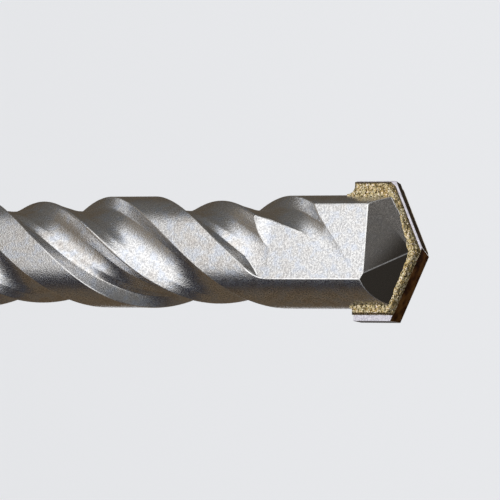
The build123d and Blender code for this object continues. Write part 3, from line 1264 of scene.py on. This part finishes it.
@dataclass(frozen=True)
class BlastedSteel(Finish):
    """Shot-blasted steel, with painted shade on the head's facets: the more a facet faces up, the darker it
    is painted.
    """

    bright: Colour = (0.86, 0.855, 0.85)
    dark: Colour = (0.62, 0.62, 0.63)
    cool: Colour = (0.66, 0.72, 0.84)
    brown: Colour = (0.46, 0.36, 0.26)
    # Painted shade for the head's facets; the second colour is for the steeper side facet.
    facet_shade: Colour = (0.5, 0.46, 0.42)
    steep_facet_shade: Colour = (0.1, 0.08, 0.06)
    grain: float = 8.0
    grain_limits: tuple[float, float] = (0.38, 0.6)
    fine_grain: float = 19.0
    fine_share: float = 0.45
    grain_depth: float = 0.000012
    mottle: float = 1.3
    cool_limits: tuple[float, float] = (0.52, 0.36)
    cool_share: float = 0.5
    stain_limits: tuple[float, float] = (0.42, 0.68)
    broad: float = 0.22
    broad_limits: tuple[float, float] = (0.35, 0.62)
    stain_share: float = 0.3
    rough_limits: tuple[float, float] = (0.3, 0.7)
    roughest: float = 0.37
    smoothest: float = 0.21
    facet_stations: tuple[float, float] = (155.6, 155.7)
    facet_slant: tuple[float, float] = (0.3, 0.42)
    facet_shade_share: float = 0.8
    steep_slant: tuple[float, float] = (0.58, 0.62)
    steep_facet_shade_share: float = 0.85

    def material(self) -> bpy.types.Material:
        """Builds the material.

        Returns:
            The material.
        """
        made, t, shader, place = self.start("blasted_steel")
        grain = self.noise(t, place, self.grain, 2.0)
        fine = self.noise(t, place, self.fine_grain, 1.0)
        mottle = self.noise(t, place, self.mottle, 3.0)
        broad = self.noise(t, place, self.broad, 2.0)

        colour = self.mix(t, self.ramp(t, grain, *self.grain_limits), self.dark, self.bright)
        patch = t.math("MULTIPLY", self.ramp(t, mottle, *self.cool_limits), self.cool_share)
        colour = self.mix(t, patch, colour, self.cool)
        stain = self.ramp(t, mottle, *self.stain_limits)
        stain = t.math("MULTIPLY", stain, self.ramp(t, broad, *self.broad_limits))
        colour = self.mix(t, t.math("MULTIPLY", stain, self.stain_share), colour, self.brown)
        parts = t.node("ShaderNodeSeparateXYZ", {"Vector": place}).outputs
        normal = t.node("ShaderNodeTexCoord").outputs["Normal"]
        facing = t.node("ShaderNodeSeparateXYZ", {"Vector": normal}).outputs["Z"]
        # Painted shade: facets on the head darken the more they face up, and the steeper side facet is
        # painted nearly black.
        head = self.ramp(t, parts["Z"], *self.facet_stations)
        facet_shade_mask = t.math("MULTIPLY", head, self.ramp(t, facing, *self.facet_slant))
        colour = self.mix(t, t.math("MULTIPLY", facet_shade_mask, self.facet_shade_share), colour, self.facet_shade)
        steep = t.math("MULTIPLY", head, self.ramp(t, facing, *self.steep_slant))
        colour = self.mix(t, t.math("MULTIPLY", steep, self.steep_facet_shade_share), colour, self.steep_facet_shade)
        t.tree.links.new(colour, shader.inputs["Base Color"])

        rough = self.ramp(t, grain, *self.rough_limits, False, self.roughest, self.smoothest)
        t.tree.links.new(rough, shader.inputs["Roughness"])
        height = t.math("MULTIPLY_ADD", fine, self.fine_share, grain)
        bump = t.node("ShaderNodeBump", {"Strength": 1.0, "Distance": self.grain_depth, "Height": height})
        t.tree.links.new(bump.outputs["Normal"], shader.inputs["Normal"])
        return made


@dataclass(frozen=True)
class WornEdgeHighlight(Finish):
    """The bright strip along an edge: partly metal rubbed bare, partly a painted highlight."""

    # Painted highlight in part: the strip is paler than the metal beside it.
    clean_highlight: Colour = (0.99, 0.985, 0.98)
    dull: Colour = (0.78, 0.77, 0.76)
    roughness: float = 0.36
    patch: float = 4.0
    patch_limits: tuple[float, float] = (0.35, 0.55)

    def material(self) -> bpy.types.Material:
        """Builds the material.

        Returns:
            The material.
        """
        made, t, shader, place = self.start("worn_edge_highlight")
        wear = self.ramp(t, self.noise(t, place, self.patch, 2.0), *self.patch_limits)
        colour = self.mix(t, wear, self.dull, self.clean_highlight)
        t.tree.links.new(colour, shader.inputs["Base Color"])
        shader.inputs["Roughness"].default_value = self.roughness
        return made


@dataclass(frozen=True)
class GroundCarbide(Finish):
    """Ground cemented carbide with painted shade: its ground faces are painted nearly black and dark brown,
    and the wide faces are bare and pale.
    """

    # Painted shade: the first two colours, nearly black and dark brown, are for the ground faces.
    ground: Colour = (0.075, 0.062, 0.05)
    oily_shade: Colour = (0.14, 0.105, 0.075)
    bare: Colour = (0.72, 0.70, 0.76)
    dull_speckle: Colour = (0.5, 0.48, 0.54)
    edge_tint: Colour = (0.25, 0.225, 0.2)
    roughness: float = 0.32
    facing_limits: tuple[float, float] = (0.85, 0.95)
    speckle: float = 8.0
    oil: float = 1.2
    patch_limits: tuple[float, float] = (0.35, 0.65)
    streak_length: float = 14.0
    streak: float = 2.5
    streak_strength: float = 0.5
    streak_depth: float = 0.000006

    def material(self, face: Vector) -> bpy.types.Material:
        """Builds the material.

        Args:
            face: the direction that the plate's wide face looks to.

        Returns:
            The material.
        """
        made, t, shader, place = self.start("ground_carbide")
        normal = t.node("ShaderNodeTexCoord").outputs["Normal"]
        toward = t.math("ABSOLUTE", t.vector("DOT_PRODUCT", normal, tuple(face)).outputs["Value"])
        # Painted shade: faces that don't look along the wide face get the dark ground colours.
        wide = self.ramp(t, toward, *self.facing_limits)
        speckle = self.ramp(t, self.noise(t, place, self.speckle, 3.0), *self.patch_limits)
        bare = self.mix(t, speckle, self.dull_speckle, self.bare)
        oil = self.ramp(t, self.noise(t, place, self.oil, 3.0), *self.patch_limits)
        ground = self.mix(t, oil, self.ground, self.oily_shade)
        t.tree.links.new(self.mix(t, wide, ground, bare), shader.inputs["Base Color"])
        shader.inputs["Specular Tint"].default_value = (*self.edge_tint, 1)
        shader.inputs["Roughness"].default_value = self.roughness
        streaks = t.node("ShaderNodeMapping", {"Vector": place, "Scale": (1.0, 1.0, self.streak_length)})
        marks = self.noise(t, streaks.outputs["Vector"], self.streak, 3.0)
        bump = t.node("ShaderNodeBump", {
            "Strength": self.streak_strength, "Distance": self.streak_depth, "Height": marks})
        t.tree.links.new(bump.outputs["Normal"], shader.inputs["Normal"])
        return made


@dataclass(frozen=True)
class GoldFiller(Finish):
    """Rough gold-coloured filler metal with pale and dark specks."""

    gold: Colour = (0.66, 0.56, 0.32)
    pale: Colour = (0.98, 0.88, 0.82)
    dark: Colour = (0.07, 0.055, 0.028)
    orange: Colour = (0.5, 0.36, 0.15)
    coarse: float = 3.2
    fine: float = 9.0
    noise_roughness: float = 0.6
    orange_limits: tuple[float, float] = (0.4, 0.6)
    pale_limits: tuple[float, float] = (0.56, 0.68)
    dark_limits: tuple[float, float] = (0.49, 0.38)
    rough_limits: tuple[float, float] = (0.3, 0.7)
    smoothest: float = 0.24
    roughest: float = 0.5
    grain_depth: float = 0.00003

    def material(self) -> bpy.types.Material:
        """Builds the material.

        Returns:
            The material.
        """
        made, t, shader, place = self.start("gold_filler")
        coarse = self.noise(t, place, self.coarse, 3.0, self.noise_roughness)
        fine = self.noise(t, place, self.fine, 2.0, self.noise_roughness)
        colour = self.mix(t, self.ramp(t, coarse, *self.orange_limits), self.orange, self.gold)
        colour = self.mix(t, self.ramp(t, fine, *self.pale_limits), colour, self.pale)
        colour = self.mix(t, self.ramp(t, fine, *self.dark_limits), colour, self.dark)
        t.tree.links.new(colour, shader.inputs["Base Color"])
        rough = self.ramp(t, coarse, *self.rough_limits, False, self.smoothest, self.roughest)
        t.tree.links.new(rough, shader.inputs["Roughness"])
        bump = t.node("ShaderNodeBump", {"Strength": 1.0, "Distance": self.grain_depth, "Height": fine})
        t.tree.links.new(bump.outputs["Normal"], shader.inputs["Normal"])
        return made


# Studio


@dataclass(frozen=True)
class Camera:
    """The photograph's viewpoint: nearly square on to the head, with the point to the right."""

    station: float = 146.44
    rise: float = 0.16
    tilt: float = 18.42
    roll: float = 15.0
    distance: float = 232.3
    lens: float = 224.2
    sensor: float = 36.0
    nearest: float = 0.01
    farthest: float = 50.0

    def axes(self) -> tuple[Vector, Vector, Vector]:
        """The camera's directions.

        Returns:
            The picture's right, its up and the direction towards the camera.
        """
        tilt, roll = radians(self.tilt), radians(self.roll)
        right = Vector((-sin(tilt) * sin(roll), sin(tilt) * cos(roll), cos(tilt)))
        up = Vector((-cos(roll), -sin(roll), 0))
        return right, up, right.cross(up)

    def build(self) -> bpy.types.Object:
        """Adds the camera and makes it the scene's.

        Returns:
            The camera.
        """
        right, up, toward = self.axes()
        data = bpy.data.cameras.new("camera")
        data.lens = self.lens
        data.sensor_width = self.sensor
        data.clip_start = self.nearest
        data.clip_end = self.farthest
        made = bpy.data.objects.new("camera", data)
        bpy.context.scene.collection.objects.link(made)
        place = (Vector((0, 0, self.station)) + up * self.rise + toward * self.distance) * MM
        turned = Matrix((right, up, toward)).transposed().to_4x4()
        made.matrix_world = Matrix.Translation(place) @ turned
        bpy.context.scene.camera = made
        return made


@dataclass(frozen=True)
class ReflectionCard:
    """A curved glowing card on the floor and beside the drill that only the metal's reflections show: a
    painted reflection. Sizes are metres.
    """

    start: float
    end: float
    radii: tuple[float, float]
    top: float
    colour: Colour
    lift: float = 0.002
    step: float = 5.0

    def build(self) -> bpy.types.Object:
        """Adds the card to the scene.

        Returns:
            The card.
        """
        steps = max(2, round(abs(self.end - self.start) / self.step))
        span = self.end - self.start
        turns = [Drill.around(self.start + span * step / steps) for step in range(steps + 1)]
        near, far = self.radii
        rows = [(near, self.lift), (far, self.lift), (far, self.lift + self.top)]
        points = [turn * radius + Vector((0, 0, height)) for radius, height in rows for turn in turns]
        faces = [(first + step, first + step + 1, first + steps + 2 + step, first + steps + 1 + step)
                 for first in (0, steps + 1) for step in range(steps)]
        mesh = bpy.data.meshes.new("reflection_card")
        mesh.from_pydata([tuple(point) for point in points], [], faces)
        material = bpy.data.materials.new("reflection_card")
        material.use_nodes = True
        material.node_tree.nodes.clear()
        t = Tree(material.node_tree)
        # Painted reflection: the card glows with its colour, and only glossy rays see it.
        glow = t.node("ShaderNodeEmission", {"Color": (*self.colour, 1), "Strength": 1.0})
        t.node("ShaderNodeOutputMaterial", {"Surface": glow})
        mesh.materials.append(material)
        placed = new_object("reflection_card", mesh)
        for rays in ("camera", "diffuse", "transmission", "volume_scatter", "shadow"):
            setattr(placed, "visible_" + rays, False)
        return placed


@dataclass(frozen=True)
class Lamp:
    """A soft square lamp. Sizes are metres, and a radiance of 1 looks white."""

    name: str
    place: tuple[float, float, float]
    aim: tuple[float, float, float]
    side: float
    radiance: float

    def build(self) -> bpy.types.Object:
        """Adds the lamp to the scene.

        Returns:
            The lamp.
        """
        data = bpy.data.lights.new(self.name, "AREA")
        data.shape = "RECTANGLE"
        data.size, data.size_y = self.side, self.side
        data.energy = self.radiance * pi * self.side**2
        made = bpy.data.objects.new(self.name, data)
        bpy.context.scene.collection.objects.link(made)
        made.location = self.place
        made.rotation_mode = "QUATERNION"
        made.rotation_quaternion = (Vector(self.place) - Vector(self.aim)).to_track_quat("Z", "Y")
        made.visible_camera = False
        return made


@dataclass(frozen=True)
class Studio:
    """Plain floor, soft lamps, glowing cards that paint reflections into the metal, and a plain world. Sizes
    are metres.
    """

    floor_radius: float = 6.0
    floor_steps: int = 64
    floor_colour: Colour = (0.86, 0.87, 0.89)
    floor_glow: Colour = (0.88, 0.89, 0.915)
    glow_share: float = 0.7
    world_strength: float = 0.14
    cards: tuple[ReflectionCard, ...] = (
        # Painted reflections: dim and brown cards at the sides, low ones on the floor round the drill, and a
        # bright one in front.
        ReflectionCard(60.0, 110.0, (0.05, 0.3), 0.5, (0.125, 0.12, 0.112)),
        ReflectionCard(110.0, 168.0, (0.05, 0.3), 0.5, (0.105, 0.085, 0.062)),
        ReflectionCard(-58.0, -95.0, (0.05, 0.3), 0.5, (0.022, 0.022, 0.03)),
        ReflectionCard(-95.0, -172.0, (0.05, 0.3), 0.5, (0.12, 0.09, 0.06)),
        ReflectionCard(-58.0, 60.0, (0.05, 0.3), 0.002, (0.22, 0.19, 0.155)),
        ReflectionCard(168.0, 188.0, (0.05, 0.3), 0.002, (0.22, 0.19, 0.155)),
        ReflectionCard(-52.0, 52.0, (0.41, 0.42), 0.36, (1.33, 1.33, 1.33)),
    )
    lamps: tuple[Lamp, ...] = (
        Lamp("top", (-0.5, 0.6, 1.2), (0.0, 0.0, 0.0), 0.3, 30.0),
        Lamp("back", (0.0, 1.3, 0.5), (0.0, 0.0, 0.146), 0.8, 1.0),
    )

    def floor(self) -> bpy.types.Object:
        """A plain pale floor at the shank's rear face.

        Returns:
            The floor.
        """
        made = bmesh.new()
        bmesh.ops.create_circle(made, cap_ends=True, radius=self.floor_radius, segments=self.floor_steps)
        placed = from_bmesh("floor", made)
        material = bpy.data.materials.new("floor")
        material.use_nodes = True
        material.node_tree.nodes.clear()
        t = Tree(material.node_tree)
        seen = t.node("ShaderNodeLightPath").outputs
        rays = t.math("MAXIMUM", seen["Is Camera Ray"], seen["Is Glossy Ray"])
        rays = t.math("MAXIMUM", rays, seen["Is Transmission Ray"])
        matt = t.node("ShaderNodeBsdfDiffuse", {"Color": (*self.floor_colour, 1)})
        glow = t.node("ShaderNodeEmission", {"Color": (*self.floor_glow, 1), "Strength": 1.0})
        share = t.math("MULTIPLY", rays, self.glow_share)
        mixed = t.node("ShaderNodeMixShader", {0: share, 1: matt, 2: glow})
        t.node("ShaderNodeOutputMaterial", {"Surface": mixed})
        placed.data.materials.append(material)
        return placed

    def build(self) -> None:
        """Sets the floor, the lamps, the glowing reflection cards, the world and the view."""
        self.floor()
        for part in (*self.lamps, *self.cards):
            part.build()
        world = bpy.data.worlds.new("studio")
        world.use_nodes = True
        world.node_tree.nodes["Background"].inputs["Color"].default_value = (1, 1, 1, 1)
        world.node_tree.nodes["Background"].inputs["Strength"].default_value = self.world_strength
        bpy.context.scene.world = world
        bpy.context.scene.view_settings.view_transform = "Standard"


def settle(piece: bpy.types.Object, node: str) -> None:
    """Lets a finished piece stand for its CAD node and reports it.

    Args:
        piece: the finished object.
        node: the CAD node that it replaces.
    """
    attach(piece, BODY)
    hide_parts(node)
    triangles = sum(len(face.vertices) - 2 for face in piece.data.polygons)
    LOG.info("%s: %d triangles", piece.name, triangles)


def main() -> None:
    """Sets the camera and the studio, then builds the pieces in order and reports each."""
    drill = Drill(length=cad_high.z / MM)
    Camera().build()
    LOG.info("camera set")
    Studio().build()
    LOG.info("studio set")
    steel, plate = SteelBody(drill), CarbidePlate(drill)
    filler = FillerMetal(drill, steel, plate)
    # Bright edge strips: partly rubbed-bare metal, partly painted highlight.
    edge = WornEdgeHighlight().material()
    face = drill.around(drill.plate_azimuth)
    settle(steel.build(BlastedSteel().material(), edge), "steel_body")
    settle(plate.build(GroundCarbide().material(face), edge), "carbide_tip")
    settle(filler.build(GoldFiller().material()), "braze")


if __name__ == "__main__":
    logging.basicConfig(level=logging.INFO, format="%(message)s")
    main()
